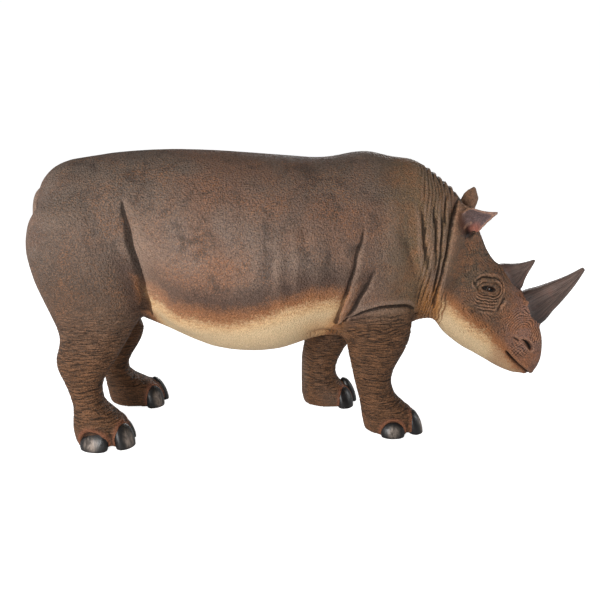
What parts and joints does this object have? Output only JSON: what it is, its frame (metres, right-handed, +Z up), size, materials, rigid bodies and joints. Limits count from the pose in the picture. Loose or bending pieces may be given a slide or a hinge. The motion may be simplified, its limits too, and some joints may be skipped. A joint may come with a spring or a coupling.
{
  "type": "rhinoceros statue",
  "caption": "Life-size museum statue of a standing two-horned rhinoceros with lowered head, pricked ears and legs mid-stride.",
  "frame": {"origin": "on the floor, under the middle of the statue's length and width", "axes": "+X is the way the animal faces, +Y is its left, +Z is up"},
  "size_m": [3.2776, 1.0246, 1.6801],
  "materials": {
    "hide": "brushed and airbrushed matt paint over moulded skin texture, cream under the belly and jaw",
    "horn": "dark satin paint with fine lengthwise streaks",
    "nail": "dark satin paint, dry-brushed grey",
    "eye": "glossy dark brown"
  },
  "bodies": {
    "root": {"ear_left": "hide", "ear_right": "hide", "eye_left": "eye", "eye_right": "eye", "foreleg_left": "hide", "foreleg_right": "hide", "front_horn": "horn", "head": "hide", "hindleg_left": "hide", "hindleg_right": "hide", "lower_jaw": "hide", "nail_fore_left_inner": "nail", "nail_fore_left_middle": "nail", "nail_fore_left_outer": "nail", "nail_fore_right_inner": "nail", "nail_fore_right_middle": "nail", "nail_fore_right_outer": "nail", "nail_hind_left_inner": "nail", "nail_hind_left_middle": "nail", "nail_hind_left_outer": "nail", "nail_hind_right_inner": "nail", "nail_hind_right_middle": "nail", "nail_hind_right_outer": "nail", "neck": "hide", "rear_horn": "horn", "tail": "hide", "trunk": "hide"}
  },
  "joints": []
}
